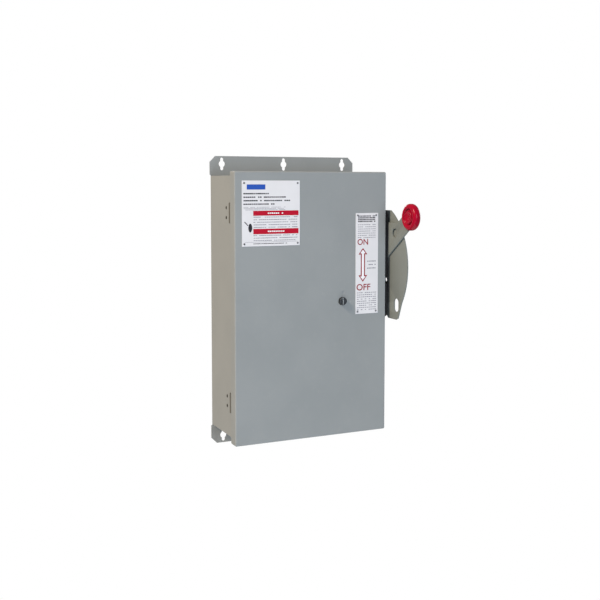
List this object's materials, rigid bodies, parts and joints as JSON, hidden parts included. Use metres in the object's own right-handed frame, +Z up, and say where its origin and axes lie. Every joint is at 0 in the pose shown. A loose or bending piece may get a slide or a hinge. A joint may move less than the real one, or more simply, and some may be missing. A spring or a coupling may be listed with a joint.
{
  "type": "fusible safety switch",
  "caption": "Wall-mounted fusible safety switch in a grey steel box with a hinged, latched door and a side lever with a red knob.",
  "frame": {"origin": "centre of the back face, on the wall", "axes": "+Z up, +Y into the wall, +X towards the handle's side"},
  "size_m": [0.4606, 0.3223, 0.7688],
  "materials": {
    "grey_enamel": "satin grey powder coat",
    "plate_enamel": "satin grey powder coat, slightly darker",
    "black_moulding": "black moulded plastic",
    "red_knob": "glossy red moulded knob",
    "label_white": "printed aluminium label",
    "paper": "printed paper label",
    "zinc": "zinc-plated steel",
    "dark_steel": "blackened steel",
    "spring_steel": "oiled spring steel",
    "bronze": "sintered bronze",
    "copper": "tin-washed copper",
    "aluminium": "extruded aluminium",
    "red_moulding": "glass-filled polyester moulding",
    "black_phenolic": "phenolic moulding",
    "fibre": "vulcanised fibre sheet",
    "clear_shield": "clear polycarbonate",
    "fuse_tube": "wound glass-melamine tube",
    "foam": "black foam gasket"
  },
  "bodies": {
    "enclosure": {"back_plate": "grey_enamel", "left_side_wall": "grey_enamel", "right_side_wall": "grey_enamel", "top_end_wall": "grey_enamel", "bottom_end_wall": "grey_enamel", "knockout_slugs": "grey_enamel", "front_lips": "grey_enamel", "hinge_box_leaves": "zinc", "hinge_pins": "dark_steel", "hinge_rivets": "zinc", "latch_strike": "zinc", "handle_gasket": "foam", "handle_base": "black_moulding", "quadrant_plate": "plate_enamel", "plate_spacers": "zinc", "handle_bolts": "zinc", "handle_nuts": "zinc", "shaft_bushing": "bronze", "operating_spring": "spring_steel", "mechanism_frame": "zinc", "rotor_bearings": "zinc", "mounting_pan": "zinc", "pan_screws": "zinc", "line_base": "red_moulding", "fuse_base": "red_moulding", "line_barriers": "fibre", "fuse_barriers": "fibre", "line_shield": "clear_shield", "line_jaws": "copper", "load_jaws": "copper", "arc_chambers": "zinc", "arc_chamber_sides": "fibre", "line_lugs": "aluminium", "load_lugs": "aluminium", "lug_screws": "zinc", "upper_fuse_clips": "copper", "lower_fuse_clips": "copper", "fuse_bodies": "fuse_tube", "fuse_caps": "copper", "ground_bar": "aluminium", "ground_bar_screws": "zinc"},
    "door": {"door_panel": "grey_enamel", "door_gasket": "foam", "hinge_door_leaves": "zinc", "nameplate": "label_white", "operation_label": "label_white", "label_rivets": "zinc", "inside_label": "paper", "interlock_bracket": "zinc"},
    "latch": {"latch_stud": "dark_steel", "latch_cross_pin": "dark_steel", "latch_washer": "zinc"},
    "handle": {"lever": "plate_enamel", "knob": "red_knob", "drive_shaft": "dark_steel", "pivot_bolt": "zinc", "interlock_cam": "zinc", "drive_crank": "zinc"},
    "rotor": {"rotor_shaft": "black_phenolic", "blades": "copper"}
  },
  "joints": [
    {"name": "door_hinge", "type": "hinge", "parent": "enclosure", "child": "door", "pos_m": [-0.2096, -0.144, 0], "axis": [0, 0, -1], "range_deg": [0, 120]},
    {"name": "latch_turn", "type": "hinge", "parent": "door", "child": "latch", "pos_m": [0.0872, -0.182, 0.0055], "axis": [0, -1, 0], "range_deg": [0, 90]},
    {"name": "handle_throw", "type": "hinge", "parent": "enclosure", "child": "handle", "pos_m": [0.2303, -0.0975, 0.0925], "axis": [1, 0, 0], "range_deg": [0, 77]},
    {"name": "rotor_turn", "type": "hinge", "parent": "enclosure", "child": "rotor", "pos_m": [0, -0.0975, 0.0925], "axis": [1, 0, 0], "range_deg": [0, 50.05]}
  ],
  "couplings": [
    {"joint": "rotor_turn", "follows": "handle_throw", "ratio": 0.65}
  ]
}
